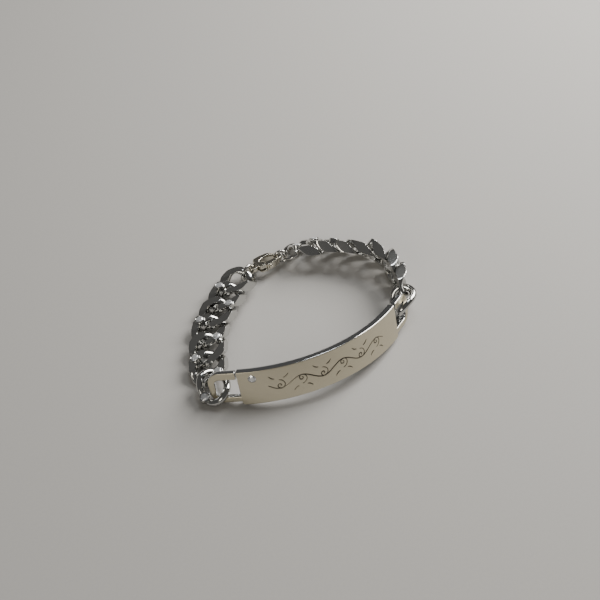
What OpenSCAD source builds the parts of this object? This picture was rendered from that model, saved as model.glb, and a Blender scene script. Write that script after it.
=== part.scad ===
// Identity bracelet lying on its side edge: a curved name plate with an open hook at each
// end, a heavy curb chain with ground faces and a stone in both lobes of every other link,
// jump rings, and a lobster clasp whose lever turns on a pin.
// The plate's chord runs along X, its face looks towards -Y, and the chain goes round behind.

/* [Plate] */
// Radius of the plate's outer face
plate_radius = 41.3; // [38:0.1:46]
// Half of the arc that the plate covers, in degrees
plate_half_arc = 35; // [33:0.5:37]
// Height of the plate
plate_height = 10.2; // [9.6:0.1:11]
// Thickness of the plate
plate_thick = 1.9; // [1.6:0.1:2.1]
// Lean of the plate back from upright, in degrees
plate_lean = 22; // [18:1:24]
// Bevel along the plate's long edges
plate_bevel = 0.25; // [0.1:0.05:0.4]

/* [Hooks] */
// Length of each hook beyond the plate
hook_length = 8; // [7.2:0.1:8.4]
// Width of the bar that holds the chain
hook_bar = 1.8; // [1.5:0.1:2]
// Height of the hook's upper arm
hook_top_arm = 2.2; // [1.8:0.1:2.4]
// Height of the hook's lower arm
hook_low_arm = 1.7; // [1.4:0.1:2]
// Step from the plate's lower edge up to the hook
hook_rise = 1; // [0.8:0.1:1.4]
// Radius of the hook's outer corners
hook_corner = 3.2; // [2.5:0.1:3.4]
// Thickness of the hook, flush with the outer face
hook_thick = 1.5; // [1.2:0.1:1.7]
// Mouth of the left hook, pressed almost shut
left_mouth = 0.25; // [0.15:0.05:0.5]
// Mouth of the right hook, standing open
right_mouth = 0.75; // [0.5:0.05:1]

/* [Curb links] */
// Distance from link to link on the right, where they lie close
right_pitch = 5.72; // [5.6:0.05:6]
// Distance from link to link on the left, where they lie drawn out
left_pitch = 6.15; // [5.9:0.05:6.2]
// Width of the chain between its ground edges
link_width = 10; // [9.6:0.1:10.2]
// Thickness of the chain between its ground faces
link_thick = 3.2; // [2.9:0.1:3.4]
// Half width of the wire across its run
wire_half_wide = 1.3; // [1.1:0.05:1.3]
// Half thickness of the wire before grinding
wire_half_high = 1.15; // [1:0.05:1.2]
// Half thickness of the wire at the lobes, where the ground edges are broad
lobe_half_high = 1.5; // [1.2:0.05:1.55]
// Half length of the link's middle line
link_half_long = 4.5; // [4.4:0.05:4.6]
// Half width of the link's middle line
link_half_wide = 4.3; // [4:0.05:4.4]
// Height of the twist that lets the links lie in each other
link_twist = 1.75; // [1.65:0.05:1.9]
// Last link on the right, the ring in the hook being the first
last_right = 8; // [8]
// Last link on the left, the ring in the hook being the first
last_left = 7; // [7]

/* [Stones] */
// Radius of a stone at its girdle
stone_r = 1.15; // [1:0.05:1.2]
// Wall of the tube that holds a stone
bezel_wall = 0.3; // [0.25:0.05:0.35]
// Height of the tube above the ground face
bezel_rise = 0.45; // [0.3:0.05:0.5]
// Radius of the stone in the plate
plate_stone_r = 1.05; // [0.8:0.05:1.2]

/* [Rings and clasp] */
// Half length of the middle line of the round-wire link in each hook
end_half_long = 4.4; // [4.2:0.1:4.6]
// Half width of its middle line
end_half_wide = 3.5; // [3.4:0.05:3.6]
// Height of its twist
end_twist = 1; // [0.8:0.1:1.2]
// Radius of its wire
end_wire = 1; // [0.9:0.05:1.05]
// Middle radius of the two jump rings that hold a curb link
jump_r = 2.5; // [2.4:0.05:2.6]
// Middle radius of the small jump ring that the clasp catches
small_jump_r = 1.8; // [1.7:0.05:1.9]
// Wire radius of a jump ring
jump_wire = 0.45; // [0.4:0.05:0.5]
// Length of the clasp
clasp_length = 11; // [10.8:0.1:11.2]
// Width of the clasp
clasp_width = 5.6; // [5.2:0.1:6]
// Thickness of the clasp
clasp_thick = 2.6; // [2.2:0.1:3]

/* [Hidden] */
LOBES = ["upper", "lower"];
$fn = 48;

// Stations of the chain's middle line, from the right hook round the back to the left hook
// columns: x, y, lean of the chain inwards from upright
ROUTE = [
    [29.5, 12.3, 14], [31.8, 19.0, 4], [33.1, 24.8, 6], [33.3, 29.8, 21],
    [31.2, 34.2, 34], [26.9, 38.6, 41], [17.8, 44.6, 50], [4.2, 47.0, 72],
    [-6.2, 44.3, 70], [-13.6, 39.3, 73], [-21.8, 31.2, 75], [-27.2, 20.2, 72],
    [-28.6, 15.2, 62], [-29.3, 12.0, 50]
];
ROUTE_STEPS = 12;

silver = [0.76, 0.76, 0.75];
bright = [0.85, 0.86, 0.88];
SIDES = 6;
STATIONS = 16;
FACETS = 8;
gap = 0.12;

// Middle of the whole outline, taken off so that the origin is under the middle
middle = [2.23, 25.06];
middle_under = [middle[0], middle[1], 0];

function unit(v) = v / norm(v);
function clamp(v, limit) = max(-limit, min(limit, v));
function smooth(a, b, c, d, t) =
    0.5 * (2 * b + (c - a) * t + (2 * a - 5 * b + 4 * c - d) * t * t
        + (3 * b - a - 3 * c + d) * t * t * t);

// The route as a fine line of points, then as tables of x, y and lean against the length run
last = len(ROUTE) - 1;
stations = concat([2 * ROUTE[0] - ROUTE[1]], ROUTE, [2 * ROUTE[last] - ROUTE[last - 1]]);
line = concat(
    [for (i = [1:last]) for (k = [0:ROUTE_STEPS - 1])
        smooth(stations[i - 1], stations[i], stations[i + 1], stations[i + 2], k / ROUTE_STEPS)],
    [ROUTE[last]]);
function flat(p) = [p[0], p[1]];
run = [for (i = 0, s = 0; i < len(line);
    i = i + 1, s = s + (i < len(line) ? norm(flat(line[i]) - flat(line[i - 1])) : 0)) s];
x_run = [for (i = [0:len(line) - 1]) [run[i], line[i][0]]];
y_run = [for (i = [0:len(line) - 1]) [run[i], line[i][1]]];
lean_run = [for (i = [0:len(line) - 1]) [run[i], line[i][2]]];
route_length = run[len(run) - 1];
function route_at(s) = [lookup(s, x_run), lookup(s, y_run)];

// Places along the route
first_right = 8.12;
first_left = 8.5;
function right_at(i) = first_right + right_pitch * (i - 2);
function left_at(i) = route_length - first_left - left_pitch * (i - 2);

// Carries its children to a place on the route: X along the route, Y up the chain's width,
// Z out of its outer face; high and deep are the half height and half depth that rest
module on_route(s, lean, high, deep, lift = 0) {
    ahead = route_at(s + 1.5) - route_at(s - 1.5);
    along = [ahead[0], ahead[1], 0] / norm(ahead);
    out = [along[1], -along[0], 0];
    across = [0, 0, cos(lean)] - out * sin(lean);
    face = out * cos(lean) + [0, 0, sin(lean)];
    here = route_at(s);
    rest = high * abs(cos(lean)) + deep * abs(sin(lean)) + lift;
    multmatrix([
        [along[0], across[0], face[0], here[0] - middle[0]],
        [along[1], across[1], face[1], here[1] - middle[1]],
        [along[2], across[2], face[2], rest],
        [0, 0, 0, 1]]) children();
}

// One surface point of a curb link's wire: its middle line is an ellipse that rises and falls
// twice on its way round, and grinding cuts it flat at the chain's faces and edges.
// Towards the lobes the wire grows to lobe_high, and its outer corners fill out.
function link_point(turn, around, long, wide, twist, half_wide, half_high, lobe_high, face, edge) =
    let (
        centre = [long * cos(turn), wide * sin(turn), twist * sin(2 * turn)],
        way = unit([-long * sin(turn), wide * cos(turn), 2 * twist * cos(2 * turn)]),
        side = unit(cross(way, [0, 0, 1])),
        up = cross(side, way),
        lobe = pow(sin(turn), 4),
        high = half_high + (lobe_high - half_high) * lobe,
        full = cos(around) > 0.5 && lobe_high > half_high ? 1 + corner_fill * lobe : 1,
        p = centre + full * (half_wide * cos(around) * side + high * sin(around) * up))
    [p[0], clamp(p[1], edge), clamp(p[2], face)];

// How far the outer corners fill out at the lobes, as a share
corner_fill = 0.12;

module wire_link(long, wide, twist, half_wide, half_high, lobe_high, face, edge) {
    points = [for (i = [0:STATIONS - 1]) for (k = [0:SIDES - 1])
        link_point(360 * i / STATIONS, 360 * (k + 0.5) / SIDES,
            long, wide, twist, half_wide, half_high, lobe_high, face, edge)];
    function at(i, k) = (i % STATIONS) * SIDES + k % SIDES;
    polyhedron(points, [for (i = [0:STATIONS - 1]) for (k = [0:SIDES - 1]) each [
        [at(i, k), at(i, k + 1), at(i + 1, k + 1)],
        [at(i, k), at(i + 1, k + 1), at(i + 1, k)]]]);
}

// Where a lobe's stone stands: the turn round the link, and the tube's place
lobe_turn = 46;
function lobe_place(lobe) =
    (lobe == "upper" ? 1 : -1)
        * [link_half_long * cos(lobe_turn), link_half_wide * sin(lobe_turn)];
bezel_r = stone_r + bezel_wall;
// depth of the tube's hollow below the ground face, and how far its wall goes on into the wire
bezel_floor = 0.55;
bezel_root = 0.3;
// room round a stone, and how far its girdle lies below the tube's rim
stone_gap = 0.1;
stone_drop = 0.2;

module bezel(place, top) {
    deep = bezel_rise + bezel_floor + bezel_root;
    translate([place[0], place[1], top - deep]) cylinder(r = bezel_r, h = deep, $fn = 12);
}

module seat(place, top) {
    translate([place[0], place[1], top - bezel_rise - bezel_floor])
        cylinder(r1 = stone_r / 3, r2 = stone_r + stone_gap, h = bezel_floor + gap, $fn = 12);
    translate([place[0], place[1], top - bezel_rise])
        cylinder(r = stone_r + stone_gap, h = bezel_rise + 1, $fn = 12);
}

// A curb link, with a tube for a stone on both lobes of its outer face or with none
module curb_link(stones) {
    top = link_thick / 2 + bezel_rise;
    difference() {
        union() {
            wire_link(link_half_long, link_half_wide, link_twist, wire_half_wide,
                wire_half_high, lobe_half_high, link_thick / 2, link_width / 2);
            if (stones)
                for (lobe = LOBES) bezel(lobe_place(lobe), top);
        }
        if (stones)
            for (lobe = LOBES) seat(lobe_place(lobe), top);
    }
}

// A cut stone with its girdle at z = 0: a table, eight crown facets and eight below
module cut_stone(r) {
    table = 0.56 * r;
    crown = 0.30 * r;
    culet = 0.62 * r;
    girdle = 0.05 * r;
    ring = [for (k = [0:FACETS - 1]) [cos(360 * k / FACETS), sin(360 * k / FACETS)]];
    points = concat(
        [for (p = ring) [p[0] * table, p[1] * table, crown]],
        [for (p = ring) [p[0] * r, p[1] * r, girdle]],
        [for (p = ring) [p[0] * r, p[1] * r, -girdle]],
        [[0, 0, -culet]]);
    function at(row, k) = row * FACETS + k % FACETS;
    polyhedron(points, concat(
        [[for (k = [FACETS - 1:-1:0]) at(0, k)]],
        [for (row = [0, 1]) for (k = [0:FACETS - 1])
            [at(row, k), at(row, k + 1), at(row + 1, k + 1), at(row + 1, k)]],
        [for (k = [0:FACETS - 1]) [at(2, k), at(2, k + 1), 3 * FACETS]]));
}

// How far the hooks' lower corners reach below the ends of the leaning plate
hook_drop = 0.66;

// Carries its children from the plate's own frame to where the plate leans
module on_plate() {
    lift = plate_radius * (1 - cos(plate_half_arc)) * sin(plate_lean) + hook_drop;
    translate([-middle[0], -middle[1], lift]) rotate([-plate_lean, 0, 0]) children();
}

// Carries its children to a place on the plate's arc: X along it, -Y out of its face
module on_arc(turn) {
    translate([0, plate_radius, 0]) rotate([0, 0, turn]) translate([0, -plate_radius, 0])
        children();
}

// The plate's band, its long edges bevelled on the face
module arc_band(half_arc) {
    inner = plate_radius - plate_thick;
    outer = plate_radius;
    translate([0, plate_radius, 0]) rotate([0, 0, -half_arc - 90])
        rotate_extrude(angle = 2 * half_arc, $fn = 128) polygon([
            [inner, 0], [outer - plate_bevel, 0], [outer, plate_bevel],
            [outer, plate_height - plate_bevel], [outer - plate_bevel, plate_height],
            [inner, plate_height]]);
}

// The hook's slot, the stretch of the hook let into the plate, and its step behind the face
slot_low = hook_rise + hook_low_arm;
slot_high = plate_height - hook_top_arm;
slot_long = hook_length - hook_bar;
slot_corner = 1.2;
joint = 0.3;
hook_back = 0.05;

// Side view of a hook: a rounded bar frame with a mouth in its upper arm beside the plate
module hook_outline(mouth) {
    difference() {
        hull() {
            translate([-joint, hook_rise]) square([joint, plate_height - hook_rise]);
            for (z = [hook_rise + hook_corner, plate_height - hook_corner])
                translate([hook_length - hook_corner, z]) circle(r = hook_corner);
        }
        hull() {
            translate([0, slot_low]) square([slot_corner, slot_high - slot_low]);
            for (z = [slot_low + slot_corner, slot_high - slot_corner])
                translate([slot_long - slot_corner, z]) circle(r = slot_corner, $fn = 32);
        }
        translate([0, slot_high - slot_corner]) square([mouth, plate_height]);
    }
}

// What is cut away outside the rounded lower corner of the plate's end
module end_corner() {
    rotate([90, 0, 0]) linear_extrude(height = 4 * plate_thick, center = true) difference() {
        translate([-hook_rise, -1]) square(hook_rise + 1);
        translate([-hook_rise, hook_rise]) circle(r = hook_rise, $fn = 32);
    }
}

module at_end(side) {
    on_arc(side * plate_half_arc) mirror([side < 0 ? 1 : 0, 0, 0]) children();
}

module plate() {
    color(silver) on_plate() {
        difference() {
            arc_band(plate_half_arc);
            for (side = [1, -1]) at_end(side) end_corner();
            // seat of the plate's stone
            on_arc(plate_stone_turn) translate([0, -1, plate_stone_high]) rotate([-90, 0, 0])
                cylinder(r = plate_stone_r + stone_gap, h = 1 + plate_seat_deep);
        }
        for (side = [1, -1])
            at_end(side) translate([0, hook_thick + hook_back, 0]) rotate([90, 0, 0])
                linear_extrude(height = hook_thick)
                    hook_outline(side > 0 ? right_mouth : left_mouth);
    }
}

// The stone in the plate: its turn round the arc, its height and the depth of its seat
plate_stone_turn = -29.5;
plate_stone_high = 7.9;
plate_stone_sunk = 0.05;
plate_seat_deep = 0.8;

module stone_plate() {
    color(bright) on_plate() on_arc(plate_stone_turn)
        translate([0, plate_stone_sunk, plate_stone_high]) rotate([90, 0, 0]) cut_stone(plate_stone_r);
}

module link_right(i) {
    s = right_at(i);
    color(silver) on_route(s, lookup(s, lean_run), link_width / 2, link_thick / 2)
        curb_link(i % 2 == 0);
}

module link_left(i) {
    s = left_at(i);
    color(silver) on_route(s, lookup(s, lean_run), link_width / 2, link_thick / 2)
        curb_link(i % 2 == 0);
}

module stone_in_link(s, lobe) {
    place = lobe_place(lobe);
    color(bright) on_route(s, lookup(s, lean_run), link_width / 2, link_thick / 2)
        translate([place[0], place[1], link_thick / 2 + bezel_rise - stone_drop]) cut_stone(stone_r);
}

// The link in each hook, round its bar and round the end of the first curb link
end_stone_turn = -60;
end_stone_place = [end_half_long * cos(end_stone_turn), end_half_wide * sin(end_stone_turn)];
end_stone_top = end_twist * sin(2 * end_stone_turn) + end_wire + bezel_rise;

module end_link(stone) {
    difference() {
        union() {
            wire_link(end_half_long, end_half_wide, end_twist, end_wire, end_wire, end_wire,
                end_twist + end_wire, end_half_wide + end_wire);
            if (stone) bezel(end_stone_place, end_stone_top);
        }
        if (stone) seat(end_stone_place, end_stone_top);
    }
}

// How the two end links lie: pitched and rolled a little, and turned about upright
module in_left_hook() {
    translate([-28.48, 14.31, 2.98] - middle_under) rotate([6.4, 9, -98.2]) children();
}

module in_right_hook() {
    translate([29.05, 14.74, 4.48] - middle_under) rotate([44, 20.5, -137.1]) children();
}

module hook_link_left() { color(silver) in_left_hook() end_link(true); }
module hook_link_right() { color(silver) in_right_hook() end_link(false); }
module stone_left_1() {
    color(bright) in_left_hook()
        translate([end_stone_place[0], end_stone_place[1], end_stone_top - stone_drop])
            cut_stone(stone_r);
}

// A jump ring where it hangs: its middle, then its axis tilted from upright and turned
module jump_ring(place, tilt, turn, r) {
    color(silver) translate(place - middle_under) rotate([0, tilt, turn])
        rotate_extrude() translate([r, 0]) circle(r = jump_wire, $fn = 24);
}

module jump_ring_right() { jump_ring([10.98, 46.1, 4.14], 26.2, 155.5, jump_r); }
module jump_ring_middle() { jump_ring([7.99, 46.79, 2.94], 105.3, 72.1, small_jump_r); }
module jump_ring_left() { jump_ring([-3.34, 45.54, 3.03], 92.2, 115.6, jump_r); }

// The clasp in its own frame: X from the hook's end to the eye, Z out of its flat side
eye_r = 1.55;
eye_hole = 0.85;
nose_r = 1.7;
opening_at = 4.3;
opening_long = 6.4;
opening_wide = 2.7;
end_half_thick = 0.65;
full_from = 3.2;
full_to = 7.9;
slope = 1.2;
clasp_lean = 72;
clasp_lift = 0.7;
clasp_at = left_at(last_left) - link_half_long - wire_half_wide - 2 * gap - clasp_length / 2;

// The lever: its pin, the tongue round the pin, the gate in the rim and the knob
pivot = [7.3, 1.1];
pin_r = 0.35;
pin_gap = 0.06;
pin_short = 0.3;
tongue_r = 1.05;
tongue_half = 0.45;
gate_end = 2.9;
gate_start = 6.1;
gate_low = 0.3;
gate_inset = 0.25;
knob_r = 0.6;
knob_high = 1.5;
knob_root = 0.8;

// The almond that two equal arcs bound
module almond(x, length, width) {
    r = (width * width + length * length) / (4 * width);
    intersection() {
        translate([x, r - width / 2]) circle(r = r, $fn = 96);
        translate([x, width / 2 - r]) circle(r = r, $fn = 96);
    }
}

// Seen from its flat side: an almond with a round nose and a round eye in place of its tips
module clasp_outline() {
    intersection() {
        almond(clasp_length / 2, clasp_length + nose_r, clasp_width);
        translate([nose_r, -clasp_width])
            square([clasp_length - eye_r - 1 - nose_r, 2 * clasp_width]);
    }
    translate([nose_r, 0]) circle(r = nose_r);
    translate([clasp_length - eye_r, 0]) circle(r = eye_r);
}

module clasp_opening() {
    almond(opening_at, opening_long, opening_wide);
}

// Seen from its edge: thick in the middle, thin where the rings pass
module clasp_side() {
    half = clasp_thick / 2;
    upper = [
        [0, end_half_thick], [full_from - 1.5 * slope, end_half_thick], [full_from, half],
        [full_to, half], [full_to + slope / 2, end_half_thick], [clasp_length, end_half_thick]];
    rotate([90, 0, 0]) linear_extrude(height = 2 * clasp_width, center = true)
        polygon(concat(upper, [for (i = [len(upper) - 1:-1:0]) [upper[i][0], -upper[i][1]]]));
}

// The stretch of the rim that the lever takes up, its free end on an arc about the pin
module gate_zone(grow) {
    intersection() {
        translate([nose_r, gate_low - grow]) square([gate_start + grow - nose_r, clasp_width]);
        translate(pivot) circle(r = pivot[0] - gate_end + grow, $fn = 96);
    }
}

module at_clasp() {
    on_route(clasp_at, clasp_lean, clasp_width / 2, clasp_thick / 2, clasp_lift)
        translate([-clasp_length / 2, 0, 0]) children();
}

module clasp_body() {
    slot_r = tongue_r + gap;
    slot_half = tongue_half + gap;
    color(silver) at_clasp() {
        difference() {
            intersection() {
                clasp_side();
                translate([0, 0, -clasp_thick / 2]) linear_extrude(height = clasp_thick)
                    difference() {
                        clasp_outline();
                        clasp_opening();
                        gate_zone(gap);
                        translate([clasp_length - eye_r, 0]) circle(r = eye_hole);
                    }
            }
            // slot for the lever's tongue, open towards the rim and the gate
            translate([pivot[0], pivot[1], -slot_half]) cylinder(r = slot_r, h = 2 * slot_half);
            translate([gate_start, pivot[1] - pin_r, -slot_half])
                cube([pivot[0] + slot_r - gate_start, clasp_width, 2 * slot_half]);
        }
        translate([pivot[0], pivot[1], pin_short - clasp_thick / 2])
            cylinder(r = pin_r, h = clasp_thick - 2 * pin_short);
    }
}

module clasp_lever() {
    color(silver) at_clasp() difference() {
        union() {
            // gate that closes the opening
            translate([0, 0, gate_inset - clasp_thick / 2])
                linear_extrude(height = clasp_thick - 2 * gate_inset) intersection() {
                    difference() {
                        clasp_outline();
                        clasp_opening();
                    }
                    gate_zone(0);
                }
            // tongue round the pin
            translate([pivot[0], pivot[1], -tongue_half]) cylinder(r = tongue_r, h = 2 * tongue_half);
            translate([gate_start - tongue_half, pivot[1], -tongue_half])
                cube([pivot[0] - gate_start + tongue_half, tongue_r, 2 * tongue_half]);
            // knob for the thumb
            translate([gate_start - 2 * tongue_half, clasp_width / 2 - knob_root, 0])
                rotate([-90, 0, 0]) cylinder(r = knob_r, h = knob_high);
        }
        translate([pivot[0], pivot[1], -clasp_thick])
            cylinder(r = pin_r + pin_gap, h = 2 * clasp_thick);
    }
}

plate();
stone_plate();
hook_link_right();
hook_link_left();
stone_left_1();
for (i = [2:last_right]) {
    link_right(i);
    if (i % 2 == 0) for (lobe = LOBES)
        stone_in_link(right_at(i), lobe);
}
for (i = [2:last_left]) {
    link_left(i);
    if (i % 2 == 0) for (lobe = LOBES)
        stone_in_link(left_at(i), lobe);
}
jump_ring_right();
jump_ring_middle();
jump_ring_left();
clasp_body();
clasp_lever();
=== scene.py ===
# %% [markdown]
# # An identity bracelet on a pale table
# The imported model gives every part its place. This file gives the parts the shapes and
# finishes that the eye expects: ground and polished curb links, cut stones in their tubes,
# a brushed name plate with an engraved scroll, and a lobster clasp with softened edges.
# It loads the model first.

# %% Load the imported model
from math import cos, pi, radians, sin

import bmesh
import bpy
import numpy as np
from mathutils import Matrix, Vector


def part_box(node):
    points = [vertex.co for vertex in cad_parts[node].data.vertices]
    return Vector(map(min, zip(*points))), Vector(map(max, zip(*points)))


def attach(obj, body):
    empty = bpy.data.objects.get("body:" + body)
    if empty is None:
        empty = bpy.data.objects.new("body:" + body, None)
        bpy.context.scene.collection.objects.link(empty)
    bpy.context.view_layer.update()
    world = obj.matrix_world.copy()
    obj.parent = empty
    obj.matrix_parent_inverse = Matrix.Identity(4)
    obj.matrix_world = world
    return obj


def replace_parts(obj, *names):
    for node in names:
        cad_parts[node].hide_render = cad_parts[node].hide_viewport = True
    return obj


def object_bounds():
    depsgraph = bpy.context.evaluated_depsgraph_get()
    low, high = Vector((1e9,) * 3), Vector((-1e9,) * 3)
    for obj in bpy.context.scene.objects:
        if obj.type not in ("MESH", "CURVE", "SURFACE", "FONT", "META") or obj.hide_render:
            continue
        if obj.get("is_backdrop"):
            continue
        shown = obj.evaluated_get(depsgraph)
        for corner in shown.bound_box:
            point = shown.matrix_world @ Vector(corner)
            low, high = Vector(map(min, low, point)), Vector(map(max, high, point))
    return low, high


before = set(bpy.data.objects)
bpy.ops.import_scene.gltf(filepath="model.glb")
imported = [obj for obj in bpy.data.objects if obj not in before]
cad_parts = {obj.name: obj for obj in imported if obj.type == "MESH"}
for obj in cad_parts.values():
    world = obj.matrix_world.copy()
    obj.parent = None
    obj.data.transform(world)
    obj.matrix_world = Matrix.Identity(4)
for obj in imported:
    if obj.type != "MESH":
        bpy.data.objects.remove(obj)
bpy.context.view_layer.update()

# %% [markdown]
# Everything below is worked out in millimetres, as a goldsmith measures, and becomes metres
# only where points go into a mesh. A surface is a grid of points: one number runs along it,
# the other round it. The faces between neighbouring points are the same for every such
# grid, so one helper makes them and another turns points and faces into a closed mesh.

# %% From a grid of points to a mesh
MM = 0.001
TAU = 2 * pi


def grid_faces(rows, columns, wrap_rows, wrap_columns):
    """Quads between neighbours of a grid that is stored row by row; a wrapped side joins
    its last line to its first."""
    i = np.arange(rows if wrap_rows else rows - 1)
    j = np.arange(columns if wrap_columns else columns - 1)
    i, j = np.meshgrid(i, j, indexing="ij")
    next_i, next_j = (i + 1) % rows, (j + 1) % columns
    corners = [i * columns + j, i * columns + next_j, next_i * columns + next_j,
               next_i * columns + j]
    return np.stack(corners, axis=-1).reshape(-1, 4)


def reworked(mesh, change):
    """Opens a mesh for editing, makes one change in it and closes it again."""
    work = bmesh.new()
    work.from_mesh(mesh)
    change(work)
    work.to_mesh(mesh)
    work.free()
    return mesh


def make_mesh(name, points, *faces):
    """A mesh from points in mm and arrays of faces, its normals turned outwards."""
    mesh = bpy.data.meshes.new(name)
    mesh.from_pydata((np.asarray(points) * MM).tolist(), [],
                     [face for group in faces for face in np.asarray(group).tolist()])
    return reworked(mesh, lambda work: bmesh.ops.recalc_face_normals(work, faces=work.faces))


def show(name, mesh):
    """An object at the origin that shows a mesh."""
    piece = bpy.data.objects.new(name, mesh)
    bpy.context.collection.objects.link(piece)
    return piece


def rounded(mesh, crease):
    """Smooth shading, with a sharp line where two faces meet at more than crease degrees."""
    mesh.shade_smooth()
    mesh.set_sharp_from_angle(angle=radians(crease))


def mesh_points(mesh):
    """All points of a mesh as rows of x, y and z in mm."""
    flat = np.empty(3 * len(mesh.vertices))
    mesh.vertices.foreach_get("co", flat)
    return flat.reshape(-1, 3) / MM


def put_attribute(mesh, name, kind, values):
    """A number or vector kept at every point, for the materials to read."""
    layer = mesh.attributes.new(name, kind, "POINT")
    layer.data.foreach_set("value" if kind == "FLOAT" else "vector", np.ravel(values))


# %% [markdown]
# Soldering a tube to a link, or drilling a seat, is a Boolean: two closed solids become
# one. Blender's modifier does it, and its result is kept as the new mesh.

# %% Solder and drill
def combine(mesh, tool, operation):
    """The mesh with the tool added (UNION) or cut away (DIFFERENCE)."""
    work, cutter = show("work", mesh), show("cutter", tool)
    boolean = work.modifiers.new("combine", "BOOLEAN")
    boolean.operation, boolean.solver, boolean.object = operation, "MANIFOLD", cutter
    shape = work.evaluated_get(bpy.context.evaluated_depsgraph_get())
    result = bpy.data.meshes.new_from_object(shape)
    for spare in (work, cutter):
        bpy.data.objects.remove(spare)
    return result


def lathe(name, profile, segments=64):
    """Turned on a lathe: each profile point (r, z) goes round the axis as
    x = r cos a, y = r sin a. The first and last point lie on the axis."""
    turn = np.linspace(0, TAU, segments, endpoint=False)
    r, z = np.array(profile[1:-1]).T
    rings = np.stack([np.outer(r, np.cos(turn)), np.outer(r, np.sin(turn)),
                      np.outer(z, np.ones(segments))], axis=-1).reshape(-1, 3)
    ends = [[0, 0, profile[0][1]], [0, 0, profile[-1][1]]]
    k, following = np.arange(segments), (np.arange(segments) + 1) % segments
    top_row = (len(r) - 1) * segments
    caps = [np.stack([k, following, np.full(segments, len(rings))], axis=-1),
            np.stack([top_row + k, top_row + following,
                      np.full(segments, len(rings) + 1)], axis=-1)]
    return make_mesh(name, np.vstack([rings, ends]), grid_faces(len(r), segments, False, True),
                     *caps)


def quarter(x, y, r, start, end, count):
    """Points of a circle's arc about (x, y), from one angle to another, in degrees."""
    a = np.radians(np.linspace(start, end, count))
    return list(zip(x + r * np.cos(a), y + r * np.sin(a)))


# %% [markdown]
# ## Where the chain lies
# The chain's middle line runs through a few stations on the table, each with the lean of
# the chain there. A cubic through the stations gives a fine line, and a link's place on it
# is told by the length run from the right hook. The numbers are the same ones that placed
# the imported model's parts.

# %% The route of the chain
MIDDLE = np.array([2.23, 25.06, 0])
ROUTE = np.array([
    [29.5, 12.3, 14], [31.8, 19.0, 4], [33.1, 24.8, 6], [33.3, 29.8, 21],
    [31.2, 34.2, 34], [26.9, 38.6, 41], [17.8, 44.6, 50], [4.2, 47.0, 72],
    [-6.2, 44.3, 70], [-13.6, 39.3, 73], [-21.8, 31.2, 75], [-27.2, 20.2, 72],
    [-28.6, 15.2, 62], [-29.3, 12.0, 50]])
ROUTE_STEPS = 12
ROUTE_REACH = 1.5


def smooth_line(stations, steps):
    """A cubic through four neighbouring stations a, b, c, d for each stretch from b to c,
    with the same slope at a station from both sides."""
    padded = np.vstack([2 * stations[0] - stations[1], stations,
                        2 * stations[-1] - stations[-2]])
    a, b, c, d = (padded[i:len(padded) - 3 + i, None, :] for i in range(4))
    t = (np.arange(steps) / steps)[None, :, None]
    line = 0.5 * (2 * b + (c - a) * t + (2 * a - 5 * b + 4 * c - d) * t ** 2
                  + (3 * b - a - 3 * c + d) * t ** 3)
    return np.vstack([line.reshape(-1, stations.shape[1]), stations[-1]])


line = smooth_line(ROUTE, ROUTE_STEPS)
run = np.concatenate([[0], np.cumsum(np.linalg.norm(np.diff(line[:, :2], axis=0), axis=1))])


def route_at(s):
    """The point of the route after a length s, on the table."""
    return np.array([np.interp(s, run, line[:, 0]), np.interp(s, run, line[:, 1]), 0])


def on_route(s, lean, half_high, half_deep):
    """The place of a piece that rests at s: X along the route, Y up its leaning width and
    Z out of its outer face. The way along is taken from the route a little ahead and back."""
    ahead = route_at(s + ROUTE_REACH) - route_at(s - ROUTE_REACH)
    along = ahead / np.linalg.norm(ahead)
    out = np.array([along[1], -along[0], 0])
    up = np.array([0, 0, 1])
    c, n = cos(radians(lean)), sin(radians(lean))
    rest = half_high * abs(c) + half_deep * abs(n)
    place = np.eye(4)
    place[:3, :3] = np.stack([along, up * c - out * n, out * c + up * n], axis=1)
    place[:3, 3] = route_at(s) - MIDDLE + up * rest
    return place


def turned(point, rotation):
    """The place of a piece that is turned about X, then Y, then Z, in degrees, and moved."""
    x, y, z = (radians(angle) for angle in rotation)
    turn = (Matrix.Rotation(z, 4, "Z") @ Matrix.Rotation(y, 4, "Y")
            @ Matrix.Rotation(x, 4, "X"))
    place = np.array(turn)
    place[:3, 3] = np.array(point) - MIDDLE
    return place


def in_metres(place):
    """A place in mm as Blender's own matrix."""
    metres = place.copy()
    metres[:3, 3] *= MM
    return Matrix(metres.tolist())


def set_down(mesh, name, place):
    """A copy of a mesh, moved to its place and shown there."""
    copy = mesh.copy()
    copy.name = name
    copy.transform(in_metres(place))
    return show(name, copy)


print("the chain's route is", round(run[-1], 2), "mm long")

# %% [markdown]
# ## Curb links
# A curb link starts as an oval of thick round wire. It is twisted, so that the links lie in
# each other, and then the whole chain is ground flat on both faces and on both edges,
# which leaves broad mirror-like diamonds. The same steps work here: an ellipse whose height
# rises and falls twice on its way round, a wire carried along it, and a grinding that holds
# each point under a limit. Rolling the chain squares the wire on the outside of its lobes.
# The points round the wire crowd where a ground face meets the round of the wire, so
# that this line comes out crisp with few faces.

# %% The wire's middle line
LINK = dict(long=4.5, wide=4.3, twist=1.75)
WIRE_WIDE, WIRE_HIGH, LOBE_HIGH = 1.3, 1.15, 1.5
LINK_THICK, LINK_WIDTH = 3.2, 10
FULLNESS = 0.95


def unit(v):
    """Vectors cut or stretched to the length 1."""
    return v / np.linalg.norm(v, axis=-1, keepdims=True)


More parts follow.
